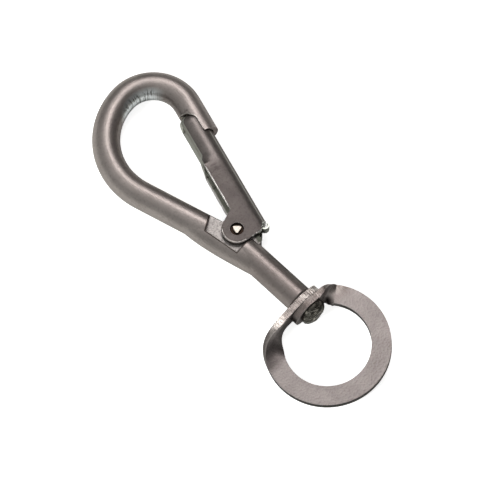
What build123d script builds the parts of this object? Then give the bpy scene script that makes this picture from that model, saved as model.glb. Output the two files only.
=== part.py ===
from build123d import *
from math import cos, hypot, radians, sin, tan
import os

# Swing hook: a bent round wire with a sprung gate across its mouth and a flat ring
# that turns on the wire's riveted end. It lies on its side, the wire on z = 0, with
# the shank along Y, the loop towards +Y and the ring towards -Y.
# Millimetres and degrees throughout.

# Wire of the hook
wire_d = 6.4
wire_r = wire_d / 2
bend_lean = 15.0           # how far the long side leans out from the shank's line
bend_r = 16.0              # radius of the wire's axis where the shank turns into the side
side_len = 26.4            # from the crossing of the two axes to the start of the loop
back_r = 16.3              # wide arc at the back of the loop
back_turn = 99.4
top_r = 8.75               # tight arc over the top of the loop
top_turn = 112.7
nose_len = 9.1             # straight end of the wire, beside the gate's tip

# Shank, neck and riveted head
shank_len = 17.7           # from the crossing of the axes to the shoulder
neck_r = 2.0
neck_root = 0.5            # the neck starts this far inside the shoulder
head_r = 3.05
head_h = 2.0
shoulder_chamfer = 0.3
# Hammered outline of the head, as shares of its radius and of its height
head_outline = ((0.93, 0.0), (1.0, 0.13), (1.0, 0.35), (0.86, 0.65), (0.47, 1.0), (0.0, 1.0))

# Metal that the press swells out of the wire's outer side: place along the hook from the crossing
# of the axes, shift outwards, half width and half height
swell = (
    (15.0, -0.3, 2.85, 2.7),
    (9.5, 0.5, 3.35, 2.95),
    (3.0, 0.95, 3.55, 3.05),
    (-2.5, 0.6, 3.4, 2.95),
    (-8.0, -0.3, 2.85, 2.7),
)

# Flats pressed in the wire for the gate, their corners from the crossing of the axes
flat_t = 3.9
flat_corners = ((-3.75, 8.2), (-2.5, -0.45), (6.0, -0.3), (6.0, 12.0), (-0.4, 10.2))

# Pin, and the ear round it with the corner that works the spring, their corners from the pin
pin_x, pin_y = 1.43, 3.41  # from the crossing of the axes
ear_r = 3.3
ear_corner = (2.3, 3.95)
ear_corner_r = 0.7
ear_heel = (4.0, -4.4)
ear_heel_r = 0.5
ear_waist = (3.25, 0.5)
ear_inner_corners = ((0.0, -7.0), (-3.0, 3.5))
pin_r = 1.5
pin_end_r = 1.3            # three-sided end left by the setting punch
pin_end_edge_r = 0.35
pin_end_h = 0.7

# Gate, folded from sheet; u runs across it from the pin, v along it to the tip
gate_lean = 17.1           # gate's line against the shank's
gate_sheet = 0.9
gate_w = 6.2
gate_r = gate_w / 2
gate_axis_u = 3.95         # centre line of the rounded web, from the pin
gate_mouth_u = 1.0         # free edge of the cheeks
crease_v = 17.6            # flat cheeks below, rolled tube above
tube_v = 20.2
dome_v = 28.9              # where the rounded tip starts
dome_h = 2.3               # height of the tip, and the radius of its round edge
tube_curl = 58.0           # how far round the web's centre line the rolled cheeks reach
tip_hollow_share = 0.7     # bevel inside the rounded tip, as a share of the hollow's radius
foot_r = 3.5
# Sheared edge behind the pin, and the flare from the foot to the cheek's free edge
tail_corners = ((8.0, -0.1), (6.9, -0.5), (5.7, -1.2), (4.9, -2.6), (0.9, -3.4))
shoulder_corners = ((-2.2, 2.7), (1.0, 5.0))
gate_bore_clear = 0.05
tip_clear = 0.25
swing_w = 8.0              # width cut from the nose where the tip swings inwards

# Leaf spring inside the gate
leaf_t = 0.4
leaf_w = 2.2
leaf_clear = 0.45          # between the web and the leaf
leaf_fold_r = 0.85
leaf_low, leaf_high = -1.2, 9.6   # ends of the leg along the web, from the pin
front_leg_len = 5.2
front_leg_turn = 172.0
tab_turn = 200.0           # round the web's tail

# Flat ring with two overlapped ends
ring_sheet = 1.6
ring_outer_r = 14.1
ring_inner_r = 9.7
ring_x, ring_y = -3.4, -10.1   # ring's centre from the middle of the overlapped ends
ring_tilt = 4.8                # the ring hangs round until its left twist meets the ground
left_end_a, right_end_a = 160.0, 36.0   # where the flat band stops and each twist begins
left_root, right_root = 4.7, 3.0   # from the shank's line to where each twist ends
root_w = 0.2                   # length of each lug that has the arm's full width
eye_r = 3.0                    # lug's widened part round the neck
lug_tip = 4.6                  # lug's free end, from the shank's line
lug_tip_r = 2.1
twist_share = 0.85             # part of each arm's length over which it twists
left_steps, right_steps = 6, 3     # sections along each twist
lug_gap = 0.06                 # between the two lugs
play = 0.1                     # between the lugs and the shoulder, and the lugs and the head
neck_clear = 0.08              # between the lugs' holes and the neck

# Crossing of the shank's and the side's axes, so that the whole hook is centred on X and Y
cross_x, cross_y = -1.310, -2.777

lay = Plane(origin=(cross_x, cross_y, wire_r), x_dir=(1, 0, 0), z_dir=(0, 0, 1))
pin_at = lay.from_local_coords(Vector(pin_x, pin_y, 0))
across = (cos(radians(gate_lean)), -sin(radians(gate_lean)), 0)
gate_lay = Plane(origin=pin_at, x_dir=across, z_dir=(0, 0, 1))
stack = 2 * ring_sheet + lug_gap
neck_len = stack + 2 * play


def cheek_section(side, length, curl=0):
    """Section of one cheek of the folded sheet, flat or rolled inwards round the gate's centre line."""
    with BuildLine() as outline:
        if curl:
            outer = CenterArc((0, 0), gate_r, side * 90, side * curl)
            inner = CenterArc((0, 0), gate_r - gate_sheet, side * 90, side * curl)
        else:
            outer = Line((0, side * gate_r), (-length, side * gate_r))
            inner = Line((0, side * (gate_r - gate_sheet)), (-length, side * (gate_r - gate_sheet)))
        Line(outer @ 0, inner @ 0)
        Line(outer @ 1, inner @ 1)
    make_face(outline.edges())


def web_section():
    """Section of the half-round web that joins the cheeks."""
    with BuildLine() as outline:
        outer = CenterArc((0, 0), gate_r, -90, 180)
        inner = CenterArc((0, 0), gate_r - gate_sheet, -90, 180)
        Line(outer @ 0, inner @ 0)
        Line(outer @ 1, inner @ 1)
    make_face(outline.edges())


# The hook: one length of wire, bent, pressed flat at the pivot, hollowed at the nose and riveted
with BuildPart() as hook_body:
    with BuildLine(lay) as wire_line:
        cut = bend_r * tan(radians(bend_lean / 2))
        shank = Line((0, -shank_len), (0, -cut))
        bend = JernArc(start=shank @ 1, tangent=shank % 1, radius=bend_r, arc_size=bend_lean)
        side = Line(bend @ 1, bend @ 1 + (bend % 1) * (side_len - cut))
        back = JernArc(start=side @ 1, tangent=side % 1, radius=back_r, arc_size=-back_turn)
        top = JernArc(start=back @ 1, tangent=back % 1, radius=top_r, arc_size=-top_turn)
        nose = Line(top @ 1, top @ 1 + (top % 1) * nose_len)
    with BuildSketch(Plane(origin=wire_line.line @ 0, z_dir=wire_line.line % 0)):
        Circle(wire_r)
    sweep(path=wire_line.line)
    chamfer(faces().sort_by(Axis.Y)[0].edges(), shoulder_chamfer)

    # Metal swollen out of the wire on its outer side by the press
    for along, out, half_w, half_h in swell:
        leaned = max(along, 0) * tan(radians(bend_lean))
        with BuildSketch(Plane(
            origin=lay.from_local_coords(Vector(-out - leaned, along, 0)),
            x_dir=(1, 0, 0), z_dir=(0, -1, 0),
        )):
            Ellipse(half_w, half_h)
    loft()

    # Flats on both faces, open towards the gate and stopped short of the outer side
    for face in (1, -1):
        with BuildSketch(lay.offset(face * flat_t / 2)):
            with BuildLine():
                Polyline(*flat_corners, close=True)
            make_face()
        extrude(amount=face * wire_d, mode=Mode.SUBTRACT)

    # Ear round the pin
    with BuildSketch(gate_lay.offset(-flat_t / 2)):
        Circle(ear_r)
        with BuildLine():
            Polyline(ear_corner, ear_waist, ear_heel, *ear_inner_corners, close=True)
        make_face()
        fillet(vertices().sort_by_distance((*ear_corner, 0))[:1], ear_corner_r)
        fillet(vertices().sort_by_distance((*ear_heel, 0))[:1], ear_heel_r)
    extrude(amount=flat_t)
    with BuildSketch(gate_lay):
        Circle(pin_r)
    extrude(amount=wire_d, both=True, mode=Mode.SUBTRACT)

    # Nose: hollowed round the gate's tip, and cut back where the tip swings inwards
    tip_r = gate_r + tip_clear
    tip_h = dome_h + tip_clear
    tip_axis = Axis(gate_lay.from_local_coords(Vector(gate_axis_u, 0, 0)), gate_lay.y_dir)
    with BuildSketch(gate_lay):
        with BuildLine():
            low = (gate_axis_u, crease_v)
            Line(low, (gate_axis_u + tip_r, crease_v))
            Line((gate_axis_u + tip_r, crease_v), (gate_axis_u + tip_r, dome_v))
            CenterArc((gate_axis_u + gate_r - dome_h, dome_v), tip_h, 0, 90)
            Line((gate_axis_u + gate_r - dome_h, dome_v + tip_h), (gate_axis_u, dome_v + tip_h))
            Line((gate_axis_u, dome_v + tip_h), low)
        make_face()
    revolve(axis=tip_axis, mode=Mode.SUBTRACT)
    swing_r = hypot(gate_axis_u + gate_r - dome_h, dome_v) + tip_h
    with BuildSketch(gate_lay.offset(-wire_d)):
        Circle(swing_r)
        with Locations((gate_axis_u - swing_w / 2, dome_v)):
            Rectangle(swing_w, 2 * swing_w, mode=Mode.INTERSECT)
    extrude(amount=2 * wire_d, mode=Mode.SUBTRACT)

    # Neck and riveted head on the shank's end
    seat = -shank_len - neck_len
    inside = -shank_len + neck_root
    with BuildSketch(lay):
        with BuildLine():
            head_points = [(x * head_r, seat - y * head_h) for x, y in head_outline]
            Polyline((0, inside), (neck_r, inside), (neck_r, seat), *head_points, close=True)
        make_face()
    revolve(axis=Axis(lay.origin, (0, 1, 0)))

# The rivet that the gate turns on, its ends spread inside the cheeks
with BuildPart() as gate_pin:
    with BuildSketch(gate_lay):
        Circle(pin_r)
    extrude(amount=gate_w / 2 - pin_end_h, both=True)
    with BuildSketch(gate_lay):
        RegularPolygon(radius=pin_end_r, side_count=3)
        fillet(vertices(), pin_end_edge_r)
    extrude(amount=gate_w / 2, both=True)

# The gate: sheet folded to a channel, rolled to a tube at its upper end and closed to a rounded tip
with BuildPart() as gate:
    cheek = gate_axis_u - gate_mouth_u
    reach = gate_axis_u + foot_r

    def across_gate(v):
        """Plane square to the gate's length, with x towards its outer side."""
        return Plane(
            origin=gate_lay.from_local_coords(Vector(gate_axis_u, v, 0)),
            x_dir=gate_lay.x_dir, z_dir=gate_lay.y_dir,
        )

    with BuildSketch(across_gate(-foot_r)):
        web_section()
        cheek_section(1, reach)
        cheek_section(-1, reach)
    extrude(amount=crease_v + foot_r)

    # Outline of the cheeks: a round foot about the pin, a flared shoulder and a sloping tail
    with BuildSketch(gate_lay.offset(-gate_w)):
        Circle(foot_r)
        with BuildLine():
            Polyline(
                (gate_mouth_u, crease_v), (tail_corners[0][0], crease_v),
                *tail_corners, *shoulder_corners, close=True,
            )
        make_face()
    extrude(amount=2 * gate_w, mode=Mode.INTERSECT)

    # The cheeks roll inwards over a short length and stay rolled up to the tip
    for side_of_web in (1, -1):
        with BuildSketch(across_gate(crease_v)):
            cheek_section(side_of_web, cheek)
        with BuildSketch(across_gate(tube_v)):
            cheek_section(side_of_web, cheek, tube_curl)
        loft(ruled=True)
    with BuildSketch(across_gate(crease_v)):
        web_section()
    extrude(amount=tube_v - crease_v)
    with BuildSketch(across_gate(tube_v)):
        web_section()
        cheek_section(1, cheek, tube_curl)
        cheek_section(-1, cheek, tube_curl)
    extrude(amount=dome_v - tube_v)
    with BuildSketch(gate_lay):
        with BuildLine():
            rim = CenterArc((gate_axis_u + gate_r - dome_h, dome_v), dome_h, 0, 90)
            hollow_r = gate_r - gate_sheet
            hollow_h = dome_h - gate_sheet
            bevel_r = tip_hollow_share * hollow_r
            bevel_h = tip_hollow_share * hollow_h
            Polyline(
                rim @ 0, (gate_axis_u + hollow_r, dome_v), (gate_axis_u + bevel_r, dome_v + bevel_h),
                (gate_axis_u, dome_v + hollow_h), (gate_axis_u, dome_v + dome_h), rim @ 1,
            )
        make_face()
    revolve(axis=Axis(gate_lay.from_local_coords(Vector(gate_axis_u, 0, 0)), gate_lay.y_dir))

    # The tip is open on the loop's side, in line with the rolled cheeks
    lip = gate_r * sin(radians(tube_curl))
    with BuildSketch(gate_lay.offset(-gate_w)):
        with Locations((gate_axis_u - lip, dome_v)):
            Rectangle(gate_w, gate_w, align=(Align.MAX, Align.MIN))
    extrude(amount=2 * gate_w, mode=Mode.SUBTRACT)
    with BuildSketch(gate_lay):
        Circle(pin_r + gate_bore_clear)
    extrude(amount=gate_w, both=True, mode=Mode.SUBTRACT)

# Leaf spring: hooked round the web's tail, up inside the web and folded back on to the ear
with BuildPart() as gate_spring:
    web_u = gate_axis_u + gate_r - gate_sheet
    leaf_u = web_u - leaf_clear - leaf_t / 2
    with BuildLine(gate_lay) as leaf_line:
        back_leg = Line((leaf_u, leaf_low), (leaf_u, leaf_high))
        fold = JernArc(start=back_leg @ 1, tangent=back_leg % 1, radius=leaf_fold_r, arc_size=front_leg_turn)
        Line(fold @ 1, fold @ 1 + (fold % 1) * front_leg_len)
        JernArc(start=back_leg @ 0, tangent=(back_leg % 0) * -1, radius=leaf_fold_r, arc_size=tab_turn)
    with BuildSketch(Plane(origin=leaf_line.line @ 0, x_dir=(0, 0, 1), z_dir=leaf_line.line % 0)):
        Rectangle(leaf_w, leaf_t)
    sweep(path=leaf_line.line)

# The ring: stamped flat, both ends twisted square to it and lapped over each other on the neck
tilt = radians(ring_tilt)
ring_lay = Plane(
    origin=lay.from_local_coords(Vector(0, -shank_len - play - stack / 2, 0)),
    x_dir=(cos(tilt), 0, sin(tilt)), z_dir=(-sin(tilt), 0, cos(tilt)),
)
ring_mid_r = (ring_outer_r + ring_inner_r) / 2
band_w = ring_outer_r - ring_inner_r


def on_ring(r, a):
    """Point of the ring's plane at radius r and angle a from its centre."""
    return (ring_x + r * cos(radians(a)), ring_y + r * sin(radians(a)))


def lapped_end(end, lug_side, a, root, steps):
    """One end of the ring: the twist out of the flat band at angle a, then the lug round the neck."""
    lug_y = lug_side * (ring_sheet + lug_gap) / 2
    heading = ring_lay.y_dir * (end * cos(radians(a))) - ring_lay.x_dir * (end * sin(radians(a)))
    with BuildLine(ring_lay) as arm:
        Spline(on_ring(ring_mid_r, a), (end * root, lug_y), tangents=(heading, ring_lay.x_dir * -end))
    with BuildPart() as lapped:
        for i in range(steps + 1):
            t = i / steps
            turned = min(1, t / twist_share)
            roll = radians(90 * turned * turned * (3 - 2 * turned))
            along = arm.line % t
            wide = along.cross(ring_lay.z_dir) * end * cos(roll) + ring_lay.z_dir * sin(roll)
            with BuildSketch(Plane(origin=arm.line @ t, x_dir=wide, z_dir=along)):
                Rectangle(band_w, ring_sheet)
        loft()
        with BuildSketch(Plane(
            origin=ring_lay.from_local_coords(Vector(0, lug_y - ring_sheet / 2, 0)),
            x_dir=ring_lay.x_dir, z_dir=ring_lay.y_dir,
        )):
            Circle(eye_r)
            with Locations((end * (lug_tip_r - lug_tip), 0)):
                Circle(lug_tip_r)
            with Locations((end * (root - root_w / 2), 0)):
                Rectangle(root_w, band_w)
            make_hull()
            Circle(neck_r + neck_clear, mode=Mode.SUBTRACT)
        extrude(amount=ring_sheet)
    return lapped.part


left_end = lapped_end(-1, 1, left_end_a, left_root, left_steps)
right_end = lapped_end(1, -1, right_end_a, right_root, right_steps)

with BuildPart() as swivel_ring:
    with BuildSketch(ring_lay.offset(-ring_sheet / 2)):
        with Locations((ring_x, ring_y)):
            Circle(ring_outer_r)
            Circle(ring_inner_r, mode=Mode.SUBTRACT)
        with BuildLine():
            middle_a = (right_end_a + left_end_a) / 2
            gap_corners = [on_ring(2 * ring_outer_r, a) for a in (right_end_a, middle_a, left_end_a)]
            Polyline((ring_x, ring_y), *gap_corners, close=True)
        make_face(mode=Mode.SUBTRACT)
    extrude(amount=ring_sheet)
    add(left_end)
    add(right_end)

os.makedirs("parts", exist_ok=True)
hook_body.part.label = "hook_body"
gate_pin.part.label = "gate_pin"
gate.part.label = "gate"
gate_spring.part.label = "gate_spring"
swivel_ring.part.label = "swivel_ring"
export_step(hook_body.part, "parts/hook_body.step")
export_step(gate_pin.part, "parts/gate_pin.step")
export_step(gate.part, "parts/gate.step")
export_step(gate_spring.part, "parts/gate_spring.step")
export_step(swivel_ring.part, "parts/swivel_ring.step")
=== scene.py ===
from math import atan2, cos, hypot, pi, radians, sin, sqrt

import bmesh
import bpy
from mathutils import Matrix, Vector, noise


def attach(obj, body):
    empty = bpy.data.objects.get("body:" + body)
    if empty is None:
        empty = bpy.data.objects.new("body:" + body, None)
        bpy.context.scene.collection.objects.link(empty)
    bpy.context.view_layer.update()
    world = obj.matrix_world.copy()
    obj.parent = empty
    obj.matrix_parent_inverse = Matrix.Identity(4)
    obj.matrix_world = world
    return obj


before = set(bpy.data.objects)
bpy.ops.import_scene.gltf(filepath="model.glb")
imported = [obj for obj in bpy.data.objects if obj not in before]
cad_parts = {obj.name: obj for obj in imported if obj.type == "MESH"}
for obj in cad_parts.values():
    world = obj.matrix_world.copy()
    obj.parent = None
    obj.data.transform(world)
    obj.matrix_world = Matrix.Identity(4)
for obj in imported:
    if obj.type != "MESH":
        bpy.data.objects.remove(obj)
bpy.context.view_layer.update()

MM = 0.001

# Places on the hook, mm
MID_Z = 3.2                                # the wire's middle, over the table
WIRE_R = 3.2
LOW_Z, HIGH_Z = 0.005, 6.395               # added pieces stay within the wire's thickness
PIN = Vector((0.12, 0.633, MID_Z))
GATE_U = Vector((0.956, -0.294, 0.0))      # across the gate, from the pin
GATE_V = Vector((0.294, 0.956, 0.0))       # along the gate, towards its tip
GATE_AXIS_U = 3.95
NOSE_AXIS_U = 5.26                         # the wire's middle at the nose
TIP_V = 28.9                               # where the gate's tip starts to round
SEAT_EDGE_R = 2.55                         # round edge of the seat for the tip
SEAT_FLAT_R = 0.8
TIP_R = 2.3                                # round edge of the tip itself
LIP_T = 0.5
CHEEK_Z = 3.1                              # outer face of a cheek, from the wire's middle
TOP_BEND = Vector((6.864, 34.455, MID_Z))  # centre of the bend at the top of the loop
SHANK_X = -1.310
HEAD_SEAT_Y = -23.937
HEAD_R = 3.05
HEAD_H = 2.0
LUGS_Y = -22.207                           # middle of the two lapped ends
UP = Vector((0, 0, 1))
SIDES = ((1, "upper"), (-1, "lower"))

# Beads along the sheared edges of the gate, mm
BEAD_Z = 2.98                              # from the wire's middle
FOOT_RIM_R = 3.22
CHEEK_EDGE_U = 0.99
CHEEK_EDGE_V = (5.3, 17.3)
TAIL_LINE = ((2.2, -3.1), (4.86, -2.56), (5.68, -1.16), (6.88, -0.46))

# The head's outline, from its axis and from its seat, as shares of HEAD_R and HEAD_H
HEAD_OUTLINE = (
    (0.90, -0.02), (0.985, 0.05), (1.02, 0.16), (1.015, 0.34), (0.95, 0.52), (0.87, 0.68),
    (0.74, 0.82), (0.60, 0.93), (0.47, 1.0), (0.32, 1.02), (0.16, 1.0), (0.0, 1.01),
)

# Tones that several finishes share
GRAIN_DEPTH = 0.05                         # height of the plate's grain, mm
GLANCING_TINT = (0.8, 0.8, 0.8, 1.0)
# Colour of the painted shade in corners and along the borders of the flats
PAINTED_SHADE_TONE = (0.22, 0.20, 0.19)

# Borders of the pressed flats: a corner of each, from the crossing of the axes, and its way out of the flat
CROSS = Vector((-1.310, -2.777, MID_Z))
FLAT_BORDERS = (
    ((-3.75, 8.2, 0.0), (-0.5126, 0.8586, 0.0)),
    ((-3.75, 8.2, 0.0), (-0.9897, -0.1430, 0.0)),
    ((-2.5, -0.45, 0.0), (0.0176, -0.9998, 0.0)),
)

# Camera: looks down on the hook at 65 degrees, with the shank running to the lower right, fitted to the photograph
AZIMUTH = 315.0
ELEVATION = 65.0
SPAN = 111.1             # width of the picture at the hook, mm
DISTANCE = 700.0
SENSOR_W = 36.0
AIM = Vector((-0.49, -4.057, 3.2))

away = Vector((
    -sin(radians(AZIMUTH)) * cos(radians(ELEVATION)),
    cos(radians(AZIMUTH)) * cos(radians(ELEVATION)),
    -sin(radians(ELEVATION)),
))
lens = bpy.data.cameras.new("camera")
lens.sensor_width = SENSOR_W
lens.lens = SENSOR_W * DISTANCE / SPAN
lens.clip_start = 0.01
camera = bpy.data.objects.new("camera", lens)
camera.location = (AIM - away * DISTANCE) * MM
camera.rotation_euler = away.to_track_quat("-Z", "Y").to_euler()
bpy.context.scene.collection.objects.link(camera)
bpy.context.scene.camera = camera


# Node helpers
def put(tree, kind, **values):
    node = tree.nodes.new(kind)
    for key, value in values.items():
        setattr(node, key, value)
    return node


def feed(tree, socket, term):
    """Gives a socket a number, a colour, a place, or what another socket puts out."""
    if isinstance(term, bpy.types.NodeSocket):
        tree.links.new(term, socket)
    elif isinstance(term, tuple) and socket.type == "RGBA" and len(term) == 3:
        socket.default_value = (*term, 1.0)
    else:
        socket.default_value = term


def calc(tree, operation, *terms):
    node = put(tree, "ShaderNodeMath", operation=operation)
    for socket, term in zip(node.inputs, terms):
        feed(tree, socket, term)
    return node.outputs[0]


def calc_place(tree, operation, *terms):
    node = put(tree, "ShaderNodeVectorMath", operation=operation)
    for socket, term in zip(node.inputs, terms):
        feed(tree, socket, term)
    return node.outputs["Value" if operation in ("DOT_PRODUCT", "LENGTH", "DISTANCE") else "Vector"]


def fade(tree, value, start, end):
    """0 at start, 1 at end."""
    node = put(tree, "ShaderNodeMapRange", clamp=True)
    feed(tree, node.inputs["Value"], value)
    node.inputs["From Min"].default_value = start
    node.inputs["From Max"].default_value = end
    return node.outputs[0]


def both(tree, *masks):
    total = masks[0]
    for mask in masks[1:]:
        total = calc(tree, "MULTIPLY", total, mask)
    return total


def mix(tree, mask, under, over, mode="MIX"):
    node = put(tree, "ShaderNodeMix", data_type="RGBA", blend_type=mode)
    feed(tree, node.inputs["Factor"], mask)
    feed(tree, node.inputs["A"], under)
    feed(tree, node.inputs["B"], over)
    return node.outputs["Result"]


def mix_value(tree, mask, under, over):
    node = put(tree, "ShaderNodeMix", data_type="FLOAT")
    feed(tree, node.inputs["Factor"], mask)
    feed(tree, node.inputs["A"], under)
    feed(tree, node.inputs["B"], over)
    return node.outputs["Result"]


def mottle(tree, place, scale, detail=2.0, rough=0.5, twist=0.0):
    node = put(tree, "ShaderNodeTexNoise")
    feed(tree, node.inputs["Vector"], place)
    feed(tree, node.inputs["Scale"], scale)
    node.inputs["Detail"].default_value = detail
    node.inputs["Roughness"].default_value = rough
    node.inputs["Distortion"].default_value = twist
    return node.outputs["Fac"]


def new_group(name, inputs, outputs):
    group = bpy.data.node_groups.new(name, "ShaderNodeTree")
    for socket_name, kind, value in inputs:
        socket = group.interface.new_socket(socket_name, in_out="INPUT", socket_type=kind)
        if value is not None:
            socket.default_value = value
    for socket_name, kind in outputs:
        group.interface.new_socket(socket_name, in_out="OUTPUT", socket_type=kind)
    return group, put(group, "NodeGroupInput").outputs, put(group, "NodeGroupOutput").inputs


# Clouded plate: slow change of tone in the dull plating, with a fine grain and small dark specks
def plate_group():
    group, given, result = new_group("clouded plate", (
        ("Place", "NodeSocketVector", None),
        ("Light Tone", "NodeSocketColor", (0.5, 0.48, 0.46, 1.0)),
        ("Dark Tone", "NodeSocketColor", (0.3, 0.28, 0.27, 1.0)),
        ("Cloud Scale", "NodeSocketFloat", 0.2),
        ("Grain Scale", "NodeSocketFloat", 5.0),
        ("Speck Amount", "NodeSocketFloat", 0.4),
        ("Roughness Low", "NodeSocketFloat", 0.25),
        ("Roughness High", "NodeSocketFloat", 0.4),
    ), (
        ("Color", "NodeSocketColor"), ("Roughness", "NodeSocketFloat"), ("Grain", "NodeSocketFloat"),
    ))
    cloud = fade(group, mottle(group, given["Place"], given["Cloud Scale"], 4.0, 0.6, 0.3), 0.34, 0.66)
    grain = mottle(group, given["Place"], given["Grain Scale"], 3.0, 0.6)
    coarse = calc(group, "MULTIPLY", given["Grain Scale"], 0.42)
    specks = fade(group, mottle(group, given["Place"], coarse, 2.0), 0.52, 0.70)
    tone = mix(group, cloud, given["Dark Tone"], given["Light Tone"])
    tone = mix(group, calc(group, "MULTIPLY", specks, given["Speck Amount"]), tone, (0.30, 0.27, 0.27), "MULTIPLY")
    spread = fade(group, grain, 0.3, 0.7)
    tone = mix(group, calc(group, "MULTIPLY", spread, 0.35), tone, (1.35, 1.35, 1.35), "MULTIPLY")
    feed(group, result["Color"], tone)
    feed(group, result["Roughness"], mix_value(group, spread, given["Roughness Low"], given["Roughness High"]))
    feed(group, result["Grain"], grain)
    return group


# Rubbed edges, and painted shade in corners: where the surface turns sharply, and where it is shut in
def edge_group():
    group, given, result = new_group("rubbed edges and corner shade", (
        ("Place", "NodeSocketVector", None),
        ("Edge Radius", "NodeSocketFloat", 0.00015),
    ), (
        ("Rubbed", "NodeSocketFloat"), ("Corner Shade", "NodeSocketFloat"), ("Normal", "NodeSocketVector"),
    ))
    bevel = put(group, "ShaderNodeBevel", samples=6)
    feed(group, bevel.inputs["Radius"], given["Edge Radius"])
    surface_way = put(group, "ShaderNodeNewGeometry").outputs["Normal"]
    agree = calc_place(group, "DOT_PRODUCT", bevel.outputs[0], surface_way)
    patchy = fade(group, mottle(group, given["Place"], 1.3, 3.0), 0.32, 0.62)
    shut_in = put(group, "ShaderNodeAmbientOcclusion", samples=6, only_local=True)
    shut_in.inputs["Distance"].default_value = 0.0011
    open_share = shut_in.outputs["AO"]
    rubbed = both(group, fade(group, agree, 0.985, 0.86), patchy, fade(group, open_share, 0.55, 0.85))
    feed(group, result["Rubbed"], rubbed)
    feed(group, result["Corner Shade"], fade(group, open_share, 0.80, 0.25))
    feed(group, result["Normal"], bevel.outputs[0])
    return group


plate = plate_group()
edges = edge_group()


class Finish:
    """One plated finish: its material, and the colour, roughness and height it has so far."""

    def __init__(self, name, light, dark, cloud, grain, specks, rough, edge_r=0.15):
        self.material = bpy.data.materials.new(name)
        self.material.use_nodes = True
        self.tree = self.material.node_tree
        self.surface = self.tree.nodes["Principled BSDF"]
        spot = put(self.tree, "ShaderNodeTexCoord")
        self.place = calc_place(self.tree, "MULTIPLY", spot.outputs["Object"], (1000.0, 1000.0, 1000.0))
        self.way = spot.outputs["Normal"]
        coat = put(self.tree, "ShaderNodeGroup", node_tree=plate)
        for socket_name, term in (
            ("Place", self.place), ("Light Tone", light), ("Dark Tone", dark), ("Cloud Scale", cloud),
            ("Grain Scale", grain), ("Speck Amount", specks),
            ("Roughness Low", rough[0]), ("Roughness High", rough[1]),
        ):
            feed(self.tree, coat.inputs[socket_name], term)
        self.colour, self.rough, self.height = (coat.outputs[key] for key in ("Color", "Roughness", "Grain"))
        self.edges = put(self.tree, "ShaderNodeGroup", node_tree=edges)
        feed(self.tree, self.edges.inputs["Place"], self.place)
        self.edges.inputs["Edge Radius"].default_value = edge_r * MM

    def axis(self, name):
        split = put(self.tree, "ShaderNodeSeparateXYZ")
        feed(self.tree, split.inputs[0], self.place)
        return split.outputs[name]

    def lay(self, mask, colour=None, rough=None, mode="MIX"):
        if colour is not None:
            self.colour = mix(self.tree, mask, self.colour, colour, mode)
        if rough is not None:
            self.rough = mix_value(self.tree, mask, self.rough, rough)

    def raise_by(self, mask, pattern, share):
        rise = calc(self.tree, "MULTIPLY", both(self.tree, mask, pattern), share)
        self.height = calc(self.tree, "ADD", self.height, rise)

    def done(self, rubbed, bump):
        # Painted shade where the surface is shut in
        self.lay(self.edges.outputs["Corner Shade"], PAINTED_SHADE_TONE, None, "MULTIPLY")
        self.lay(self.edges.outputs["Rubbed"], rubbed, 0.30)
        relief = put(self.tree, "ShaderNodeBump")
        relief.inputs["Strength"].default_value = bump
        relief.inputs["Distance"].default_value = GRAIN_DEPTH * MM
        feed(self.tree, relief.inputs["Height"], self.height)
        feed(self.tree, relief.inputs["Normal"], self.edges.outputs["Normal"])
        feed(self.tree, self.surface.inputs["Base Color"], self.colour)
        feed(self.tree, self.surface.inputs["Roughness"], self.rough)
        feed(self.tree, self.surface.inputs["Normal"], relief.outputs["Normal"])
        self.surface.inputs["Metallic"].default_value = 1.0
        self.surface.inputs["Specular Tint"].default_value = GLANCING_TINT
        return self.material


def far_from(finish, axis_name, middle):
    """Distance from a plane square to one axis, mm."""
    return calc(finish.tree, "ABSOLUTE", calc(finish.tree, "SUBTRACT", finish.axis(axis_name), middle))


def facing(finish, way):
    """How squarely the surface faces along a direction, on either side."""
    return calc(finish.tree, "ABSOLUTE", calc_place(finish.tree, "DOT_PRODUCT", finish.way, tuple(way)))


def on_gate(finish):
    """Place across the gate and along it, from the pin, mm."""
    from_pin = calc_place(finish.tree, "SUBTRACT", finish.place, tuple(PIN))
    return [calc_place(finish.tree, "DOT_PRODUCT", from_pin, tuple(way)) for way in (GATE_U, GATE_V)]


def drawn_out(finish, shares):
    """The place with each axis squeezed or stretched, for a pattern with a direction."""
    return calc_place(finish.tree, "MULTIPLY", finish.place, shares)
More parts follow.
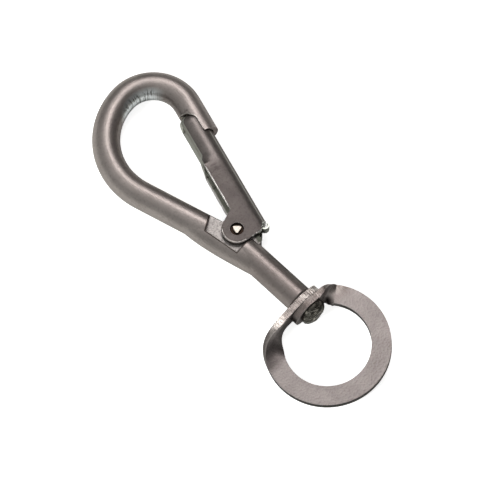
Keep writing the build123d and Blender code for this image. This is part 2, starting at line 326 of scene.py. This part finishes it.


# The wire: dull plate, lighter in the pressed flats, darker along the shank; painted shade along the flats' borders,
# beside the gate's foot and down the shank's outer side; inside the top bend, pale wrinkled plate with a painted
# reflection of the table, and painted shade in its folds
def wire_finish():
    coat = Finish("wire plate", (0.43, 0.388, 0.37), (0.35, 0.315, 0.30), 0.16, 4.2, 0.22, (0.36, 0.47), 0.12)
    tree = coat.tree
    square_up = fade(tree, facing(coat, UP), 0.90, 0.97)
    height = far_from(coat, "Z", MID_Z)
    flats = both(tree, square_up, fade(tree, height, 2.2, 2.05))
    fleck = mottle(tree, coat.place, 2.6, 3.0, 0.65)
    coat.lay(flats, (0.52, 0.495, 0.48), 0.50)
    coat.lay(both(tree, flats, fade(tree, fleck, 0.46, 0.62)), (0.30, 0.283, 0.275), None)
    coat.raise_by(flats, fleck, 1.2)

    # Painted shade: a dark line along each flat's border, on the raised wire just outside it
    from_cross = calc_place(tree, "SUBTRACT", coat.place, tuple(CROSS))
    past_border = None
    for corner, outward in FLAT_BORDERS:
        past = calc_place(tree, "DOT_PRODUCT", calc_place(tree, "SUBTRACT", from_cross, corner), outward)
        past_border = past if past_border is None else calc(tree, "MAXIMUM", past_border, past)
    border = both(
        tree, fade(tree, past_border, -0.12, -0.02), fade(tree, past_border, 0.34, 0.16),
        fade(tree, height, 2.0, 2.12),
    )
    coat.lay(border, PAINTED_SHADE_TONE, None, "MULTIPLY")

    across, along = on_gate(coat)
    # Painted shade: a near-black patch on the wire beside the gate's foot, where its shadow falls
    shaded_heel = both(
        tree, fade(tree, across, 2.4, 3.0), fade(tree, along, -0.5, -1.4), fade(tree, along, -5.0, -4.6),
        fade(tree, height, 2.3, 2.15),
    )
    coat.lay(shaded_heel, (0.085, 0.09, 0.075), 0.45)
    # The shank is darker than the loop, with painted shade darkest along its outer side
    right_of_shank = calc(tree, "SUBTRACT", coat.axis("X"), SHANK_X)
    shank_shade = both(tree, fade(tree, right_of_shank, 1.5, 2.3), fade(tree, coat.axis("Y"), -6.0, -8.5))
    coat.lay(shank_shade, (0.36, 0.36, 0.35), None, "MULTIPLY")
    coat.lay(fade(tree, coat.axis("Y"), -3.0, -9.0), (0.80, 0.78, 0.78), None, "MULTIPLY")

    from_bend = calc_place(tree, "SUBTRACT", coat.place, tuple(TOP_BEND))
    split = put(tree, "ShaderNodeSeparateXYZ")
    feed(tree, split.inputs[0], from_bend)
    out = calc_place(tree, "LENGTH", calc_place(tree, "MULTIPLY", from_bend, (1, 1, 0)))
    turn = calc(tree, "ARCTAN2", split.outputs["Y"], split.outputs["X"])
    over_top = both(tree, fade(tree, out, 7.2, 6.1), fade(tree, turn, 0.35, 0.8), fade(tree, turn, 2.75, 2.3))
    fold_place = put(tree, "ShaderNodeCombineXYZ")
    feed(tree, fold_place.inputs["X"], calc(tree, "MULTIPLY", turn, 9.0))
    feed(tree, fold_place.inputs["Y"], calc(tree, "MULTIPLY", out, 0.45))
    folds = mottle(tree, fold_place.outputs[0], 1.4, 3.0, 0.6, 0.8)
    # Inside the top bend: wrinkled plate, its pale bluish tone partly real and partly a painted reflection of the
    # white table
    coat.lay(over_top, (0.93, 0.98, 1.0), 0.28)
    coat.raise_by(over_top, folds, 9.0)
    # Painted shade in the valleys of the folds
    coat.lay(both(tree, over_top, fade(tree, folds, 0.52, 0.40)), (0.30, 0.31, 0.31), None)
    return coat.done((0.72, 0.69, 0.66), 0.35)


# The riveted head, hammered dark and creased
def head_finish():
    coat = Finish("hammered head", (0.115, 0.110, 0.095), (0.06, 0.058, 0.05), 0.5, 3.0, 0.4, (0.30, 0.52), 0.05)
    tree = coat.tree
    marks = mottle(tree, drawn_out(coat, (0.55, 0.4, 2.2)), 1.1, 3.0, 0.55, 0.9)
    coat.lay(fade(tree, marks, 0.53, 0.62), (0.52, 0.50, 0.44), 0.30)
    coat.lay(fade(tree, marks, 0.46, 0.38), (0.03, 0.03, 0.025), 0.5)
    coat.raise_by(1.0, marks, 5.0)
    return coat.done((0.42, 0.40, 0.36), 0.55)


# The gate: darker plate, painted light on the metal inside the fold, bright sheared edges, painted shade in the
# creases
def gate_finish():
    coat = Finish("gate plate", (0.25, 0.226, 0.216), (0.20, 0.18, 0.173), 0.24, 5.2, 0.25, (0.36, 0.48), 0.16)
    tree = coat.tree
    across, along = on_gate(coat)
    height = far_from(coat, "Z", MID_Z)
    # Painted light: the metal inside the fold is made pale and greenish, as if lit from the table
    inside = both(tree, fade(tree, height, 2.28, 2.2), fade(tree, across, 6.4, 6.0))
    coat.lay(inside, (0.62, 0.63, 0.57), 0.42)
    free_edge = both(
        tree, fade(tree, facing(coat, GATE_U), 0.80, 0.92), fade(tree, across, 1.4, 1.15),
        fade(tree, along, 3.6, 4.4), fade(tree, height, 2.1, 2.25),
    )
    coat.lay(free_edge, (0.93, 0.92, 0.90), 0.25)
    tail = both(
        tree, fade(tree, facing(coat, UP), 0.5, 0.3), fade(tree, across, 3.6, 4.2), fade(tree, along, 0.4, 0.1),
        fade(tree, facing(coat, GATE_V), 0.25, 0.45),
    )
    coat.lay(tail, (0.80, 0.82, 0.78), 0.28)

    creases = mottle(tree, drawn_out(coat, (0.5, 1.2, 0.4)), 1.3, 2.0, 0.5, 0.6)
    creased = both(tree, fade(tree, along, 12.6, 14.6), fade(tree, along, 18.6, 16.6), fade(tree, across, 4.6, 3.0))
    coat.raise_by(creased, creases, 5.0)
    # Painted shade in the valleys of the creases
    coat.lay(both(tree, creased, fade(tree, creases, 0.50, 0.40)), (0.17, 0.15, 0.145), None)
    cheeks = both(
        tree, fade(tree, facing(coat, UP), 0.93, 0.985), fade(tree, height, 2.7, 2.9), fade(tree, along, 18.0, 15.5),
    )
    coat.lay(cheeks, (0.84, 0.83, 0.83), 0.56, "MULTIPLY")
    return coat.done((0.78, 0.76, 0.73), 0.30)


# The pin: bright three-sided end, black in the recess round it
def pin_finish():
    coat = Finish("pin plate", (0.52, 0.49, 0.44), (0.38, 0.35, 0.31), 1.2, 6.0, 0.3, (0.26, 0.40), 0.08)
    tree = coat.tree
    coat.lay(fade(tree, far_from(coat, "Z", MID_Z), 2.95, 2.75), (0.075, 0.05, 0.038), 0.6)
    return coat.done((0.90, 0.87, 0.80), 0.4)


# The leaf spring: strip with fine rolling lines
def spring_finish():
    coat = Finish("spring strip", (0.44, 0.47, 0.43), (0.32, 0.345, 0.315), 0.5, 5.0, 0.25, (0.24, 0.36), 0.06)
    tree = coat.tree
    rolled = mottle(tree, drawn_out(coat, (0.15, 0.15, 3.0)), 2.2, 2.0)
    coat.raise_by(1.0, rolled, 1.5)
    coat.lay(fade(tree, rolled, 0.62, 0.72), (0.28, 0.30, 0.27), None)
    return coat.done((0.80, 0.82, 0.78), 0.3)


# The ring: matt, finely mottled faces, a dark stamped rim, and brushed edges on the lapped ends
def ring_finish():
    coat = Finish("ring plate", (0.475, 0.435, 0.425), (0.39, 0.355, 0.345), 0.20, 5.2, 0.34, (0.42, 0.56), 0.18)
    tree = coat.tree
    pits = fade(tree, mottle(tree, coat.place, 2.2, 4.0, 0.7), 0.56, 0.42)
    coat.lay(pits, (0.84, 0.83, 0.83), None, "MULTIPLY")
    x, y, z = (coat.axis(name) for name in "XYZ")
    flat_band = fade(tree, y, -25.5, -28.5)
    faces_up = facing(coat, UP)
    coat.lay(both(tree, flat_band, fade(tree, faces_up, 0.55, 0.30)), (0.045, 0.042, 0.038), 0.5)
    lug_edge = both(
        tree, fade(tree, y, -28.0, -26.0), fade(tree, facing(coat, (0, 1, 0)), 0.75, 0.5), fade(tree, z, 4.2, 4.8),
    )
    strokes = mottle(tree, drawn_out(coat, (5.0, 0.5, 0.8)), 1.6, 3.0, 0.6, 0.4)
    coat.lay(lug_edge, (0.60, 0.54, 0.51), 0.36)
    rubbed = fade(tree, mottle(tree, drawn_out(coat, (0.35, 0.2, 0.3)), 0.8, 1.0), 0.42, 0.60)
    coat.lay(both(tree, lug_edge, rubbed, fade(tree, y, -27.2, -25.4)), (0.98, 0.93, 0.88), 0.30)
    second_lug = both(tree, lug_edge, fade(tree, y, LUGS_Y, LUGS_Y - 0.2), fade(tree, x, -5.6, -5.2))
    coat.lay(second_lug, (0.42, 0.40, 0.40), None, "MULTIPLY")
    coat.lay(both(tree, lug_edge, fade(tree, strokes, 0.52, 0.42)), (0.24, 0.205, 0.19), None)
    coat.raise_by(lug_edge, strokes, 3.0)
    low_wall = both(tree, fade(tree, y, -29.0, -27.0), fade(tree, z, 4.4, 3.4))
    coat.lay(low_wall, (0.45, 0.44, 0.44), None, "MULTIPLY")
    return coat.done((0.62, 0.58, 0.56), 0.55)


# Pieces
def new_piece(name, bm, material, body, smooth=True):
    for vert in bm.verts:
        vert.co.z = min(max(vert.co.z, LOW_Z), HIGH_Z)
    bmesh.ops.recalc_face_normals(bm, faces=bm.faces)
    bmesh.ops.scale(bm, vec=(MM, MM, MM), verts=bm.verts)
    mesh = bpy.data.meshes.new(name)
    bm.to_mesh(mesh)
    bm.free()
    for polygon in mesh.polygons:
        polygon.use_smooth = smooth
    mesh.materials.append(material)
    piece = bpy.data.objects.new(name, mesh)
    bpy.context.scene.collection.objects.link(piece)
    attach(piece, body)
    return piece


def gate_point(u, v, z):
    return PIN + GATE_U * u + GATE_V * v + Vector((0, 0, z))


def bead(bm, points, radii, sides=8):
    """A rounded bead of metal that follows a line of points."""
    loops = []
    last = len(points) - 1
    for i, point in enumerate(points):
        ahead = points[min(i + 1, last)] - points[max(i - 1, 0)]
        stand = Matrix.LocRotScale(point, ahead.to_track_quat("Z", "Y"), None)
        made = bmesh.ops.create_circle(bm, cap_ends=i in (0, last), segments=sides, radius=radii[i], matrix=stand)
        around = set(made["verts"])
        loops.append([edge for edge in bm.edges if set(edge.verts) <= around])
    for low, high in zip(loops, loops[1:]):
        bmesh.ops.bridge_loops(bm, edges=low + high)


def run_of(corners, step):
    """Evenly spaced points along straight runs between corners."""
    points = []
    for start, end in zip(corners, corners[1:]):
        count = max(1, round((end - start).length / step))
        points += [start.lerp(end, i / count) for i in range(count)]
    return points + [corners[-1]]


def uneven(points, width, rough, seed):
    return [width * (1 + rough * noise.noise(point * 1.7 + Vector((seed, 0, 0)))) for point in points]


def foot_rims(material):
    """The rolled-over rim of each cheek's round foot."""
    for side, which in SIDES:
        bm = bmesh.new()
        turns = [radians(degrees) for degrees in range(150, 286, 5)]
        arc = [gate_point(FOOT_RIM_R * cos(a), FOOT_RIM_R * sin(a), side * BEAD_Z) for a in turns]
        bead(bm, arc, uneven(arc, 0.20, 0.25, 3 * side))
        new_piece(f"{which}_foot_rim", bm, material, "gate")


def cheek_burrs(material):
    """The bright sheared edge of each cheek, turned up along the mouth of the fold."""
    for side, which in SIDES:
        bm = bmesh.new()
        line = run_of([gate_point(CHEEK_EDGE_U, v, side * BEAD_Z) for v in CHEEK_EDGE_V], 0.4)
        from_end = [min(i, len(line) - 1 - i) for i in range(len(line))]
        radii = [r * min(1.0, 0.35 + 0.25 * count) for r, count in zip(uneven(line, 0.22, 0.30, 7), from_end)]
        bead(bm, line, radii)
        new_piece(f"{which}_cheek_burr", bm, material, "gate")


def web_height(u):
    """Half thickness of the folded gate at u, round its web."""
    return sqrt(max(0.0, CHEEK_Z ** 2 - max(0.0, u - GATE_AXIS_U) ** 2))


def tail_burrs(material):
    """The ragged burr that the shears left along each cheek's tail."""
    for side, which in SIDES:
        bm = bmesh.new()
        line = run_of([Vector((u, v, 0)) for u, v in TAIL_LINE], 0.28)
        line = [gate_point(p.x, p.y, side * (web_height(p.x) - 0.13)) for p in line]
        line = [p + GATE_V * 0.09 * noise.noise(p * 2.3 + Vector((0, 0, side))) for p in line]
        bead(bm, line, uneven(line, 0.14, 0.6, side))
        new_piece(f"{which}_tail_burr", bm, material, "gate")


def nose_height(u):
    """Half thickness of the wire's straight nose at u."""
    return sqrt(max(0.0, WIRE_R ** 2 - (u - NOSE_AXIS_U) ** 2))


def seat_lip_reach(u):
    """How near to the pin the seat's lip may come at u, just clear of the tip as it swings."""
    low = nose_height(u) - LIP_T
    share = min(1.0, max(0.0, (hypot(0.4, low) - (CHEEK_Z - TIP_R)) / TIP_R))
    return hypot(GATE_AXIS_U + 0.4, TIP_V + TIP_R * sqrt(1 - share * share)) + 0.12


def seat_lips(material):
    """Metal that the die pushed over the seat on the loop's side, up to the path of the tip."""
    for side, which in SIDES:
        bm = bmesh.new()
        places = [2.4 + 0.13 * i for i in range(14)]
        inner = [gate_point(u, sqrt(seat_lip_reach(u) ** 2 - u * u), side * nose_height(u)) for u in places]
        near = [bm.verts.new(point) for point in inner]
        line = [bm.edges.new(pair) for pair in zip(near, near[1:])]
        for far in (31.5, 32.1):
            made = bmesh.ops.extrude_edge_only(bm, edges=line)["geom"]
            line = [part for part in made if isinstance(part, bmesh.types.BMEdge)]
            for vert in (part for part in made if isinstance(part, bmesh.types.BMVert)):
                u = (vert.co - PIN).dot(GATE_U)
                reach = max(far, seat_lip_reach(u) + 0.05)
                vert.co = gate_point(u, sqrt(reach * reach - u * u), side * nose_height(u))
        bmesh.ops.recalc_face_normals(bm, faces=bm.faces)
        if (bm.faces[:][0].normal.z > 0) != (side > 0):
            bmesh.ops.reverse_faces(bm, faces=bm.faces)
        bmesh.ops.solidify(bm, geom=bm.faces[:], thickness=LIP_T)
        new_piece(f"{which}_seat_lip", bm, material, "hook")


def seat_burrs(material):
    """The raised line that the die left round the seat for the gate's tip."""
    for side, which in SIDES:
        line = run_of([gate_point(5.05, 25.4, side * 3.1), gate_point(5.03, 28.8, side * 3.1)], 0.6)[:-1]
        for step in range(8):
            u = 5.02 - step * 0.14
            share = min(1.0, max(0.0, (hypot(u - GATE_AXIS_U, nose_height(u)) - SEAT_FLAT_R) / SEAT_EDGE_R))
            v = TIP_V + 0.1 + SEAT_EDGE_R * sqrt(1 - share * share)
            line.append(gate_point(u, v, side * (nose_height(u) - 0.03)))
        for step in range(9):
            u = 3.82 - step * 0.16
            reach = seat_lip_reach(u) + 0.12
            line.append(gate_point(u, sqrt(reach * reach - u * u), side * (nose_height(u) - 0.02)))
        bm = bmesh.new()
        bead(bm, line, uneven(line, 0.17, 0.4, 5 * side))
        new_piece(f"{which}_seat_burr", bm, material, "hook")


def punched_ends(material):
    """The three-sided crown that the setting punch left on each end of the pin."""
    for side, which in SIDES:
        bm = bmesh.new()
        bmesh.ops.create_circle(bm, cap_ends=True, segments=3, radius=1.32)
        bmesh.ops.bevel(bm, geom=bm.verts[:], offset=0.62, affect="VERTICES", segments=4, profile=0.5, material=-1)
        bmesh.ops.inset_region(bm, faces=bm.faces[:], thickness=0.16, depth=0.06)
        bmesh.ops.inset_region(bm, faces=[f for f in bm.faces if len(f.verts) > 4], thickness=0.22, depth=0.02)
        spin = atan2(GATE_U.y, GATE_U.x) - pi / 2
        bmesh.ops.rotate(bm, cent=(0, 0, 0), matrix=Matrix.Rotation(spin, 3, "Z"), verts=bm.verts)
        for vert in bm.verts:
            vert.co.z += 0.02 * noise.noise(vert.co * 2.0)
        if side < 0:
            bmesh.ops.rotate(bm, cent=(0, 0, 0), matrix=Matrix.Rotation(pi, 3, GATE_V), verts=bm.verts)
        bmesh.ops.translate(bm, vec=PIN + Vector((0, 0, side * 3.09)), verts=bm.verts)
        new_piece(f"{which}_pin_crown", bm, material, "gate", smooth=False)


def hammered_head(material):
    """The spread end of the neck, creased by the hammer."""
    bm = bmesh.new()
    verts = [
        bm.verts.new((SHANK_X + x * HEAD_R, HEAD_SEAT_Y - y * (HEAD_H - 0.02), MID_Z)) for x, y in HEAD_OUTLINE
    ]
    line = [bm.edges.new(pair) for pair in zip(verts, verts[1:])]
    bmesh.ops.spin(
        bm, geom=verts + line, cent=(SHANK_X, 0, MID_Z), axis=(0, 1, 0), angle=2 * pi, steps=56, use_merge=True,
    )
    bmesh.ops.remove_doubles(bm, verts=bm.verts, dist=0.001)
    middle = Vector((SHANK_X, HEAD_SEAT_Y - 0.4 * HEAD_H, MID_Z))
    for vert in bm.verts:
        out = (vert.co - middle).normalized()
        crease = noise.noise(Vector((vert.co.x * 0.5, vert.co.y * 0.6, vert.co.z * 1.9)))
        dent = noise.noise(vert.co * 0.7 + Vector((4, 0, 0)))
        off_seat = min(1.0, max(0.0, (HEAD_SEAT_Y - vert.co.y) / 0.5))
        vert.co += out * off_seat * max(-0.02, 0.22 * crease + 0.10 * dent + 0.04)
    new_piece("hammered_head", bm, material, "hook")


wire = wire_finish()
gate_plate = gate_finish()
pin_plate = pin_finish()
for node_name, finish in (
    ("hook_body", wire), ("gate_pin", pin_plate), ("gate", gate_plate), ("gate_spring", spring_finish()),
    ("swivel_ring", ring_finish()),
):
    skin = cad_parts[node_name].data.materials
    skin.clear()
    skin.append(finish)

# Bare edges, from the dullest to the brightest
rubbed_edge = Finish(
    "rubbed edge", (0.70, 0.67, 0.64), (0.42, 0.39, 0.37), 0.9, 5.0, 0.3, (0.28, 0.42), 0.05,
).done((0.85, 0.83, 0.80), 0.4)
sheared_edge = Finish(
    "sheared edge", (0.86, 0.87, 0.84), (0.40, 0.42, 0.38), 1.6, 5.0, 0.3, (0.22, 0.36), 0.05,
).done((0.9, 0.9, 0.88), 0.5)
fresh_edge = Finish(
    "fresh sheared edge", (0.98, 0.97, 0.94), (0.80, 0.79, 0.76), 1.2, 5.0, 0.3, (0.34, 0.48), 0.04,
).done((0.98, 0.97, 0.95), 0.4)

foot_rims(rubbed_edge)
cheek_burrs(fresh_edge)
tail_burrs(sheared_edge)
seat_burrs(rubbed_edge)
seat_lips(wire)
punched_ends(pin_plate)
hammered_head(head_finish())


# Table, lights and surroundings
def white_table():
    bm = bmesh.new()
    bmesh.ops.create_grid(bm, x_segments=1, y_segments=1, size=2.0)
    mesh = bpy.data.meshes.new("floor")
    bm.to_mesh(mesh)
    bm.free()
    table = bpy.data.objects.new("floor", mesh)
    bpy.context.scene.collection.objects.link(table)
    material = bpy.data.materials.new("white table")
    material.use_nodes = True
    tree = material.node_tree
    surface = tree.nodes["Principled BSDF"]
    surface.inputs["Base Color"].default_value = (0.80, 0.80, 0.79, 1.0)
    surface.inputs["Roughness"].default_value = 0.9
    surface.inputs["Emission Color"].default_value = (1.0, 1.0, 1.0, 1.0)
    seen = put(tree, "ShaderNodeLightPath").outputs["Is Camera Ray"]
    feed(tree, surface.inputs["Emission Strength"], calc(tree, "MULTIPLY", seen, 0.80))
    mesh.materials.append(material)


def softbox(name, place, size, power, tint):
    """A rectangular lamp that shines on the middle of the hook."""
    light = bpy.data.lights.new(name, "AREA")
    light.shape = "RECTANGLE"
    light.size, light.size_y = size
    light.energy = power
    light.color = tint
    lamp = bpy.data.objects.new(name, light)
    lamp.location = place
    lamp.rotation_euler = (-place).to_track_quat("-Z", "Y").to_euler()
    bpy.context.scene.collection.objects.link(lamp)
    return lamp


white_table()
# Directions on the table, as the picture shows them
picture_right = Vector((0.706, -0.708, 0.0))
picture_up = Vector((0.708, 0.706, 0.0))
key_place = picture_right * 0.05 + picture_up * 0.50 + UP * 0.86
ceiling_place = picture_right * -0.2 + picture_up * 0.15 + UP * 0.95
table_lamp_place = picture_right * -0.85 + picture_up * -0.55 + UP * 0.55
softbox("key softbox", key_place, (0.42, 0.42), 2.3, (1.0, 0.955, 0.94))
softbox("ceiling panel", ceiling_place, (1.0, 1.0), 1.2, (1.0, 0.97, 0.96))
table_lamp = softbox("table lamp", table_lamp_place, (0.5, 0.4), 15.0, (0.97, 1.0, 0.965))
table_lamp.visible_glossy = False  # lights the table, and leaves no glint on the metal


# The room: paler towards the lower left of the picture, dim behind the hook
def studio_walls():
    world = bpy.data.worlds.new("studio")
    bpy.context.scene.world = world
    world.use_nodes = True
    tree = world.node_tree
    way = put(tree, "ShaderNodeTexCoord").outputs["Generated"]
    leftward = calc_place(tree, "DOT_PRODUCT", way, tuple(picture_right * -0.75 + picture_up * -0.65))
    walls = mix(tree, fade(tree, leftward, -0.35, 0.55), (0.12, 0.117, 0.114), (0.40, 0.40, 0.388))
    feed(tree, tree.nodes["Background"].inputs["Color"], walls)


studio_walls()
bpy.context.scene.view_settings.view_transform = "Standard"
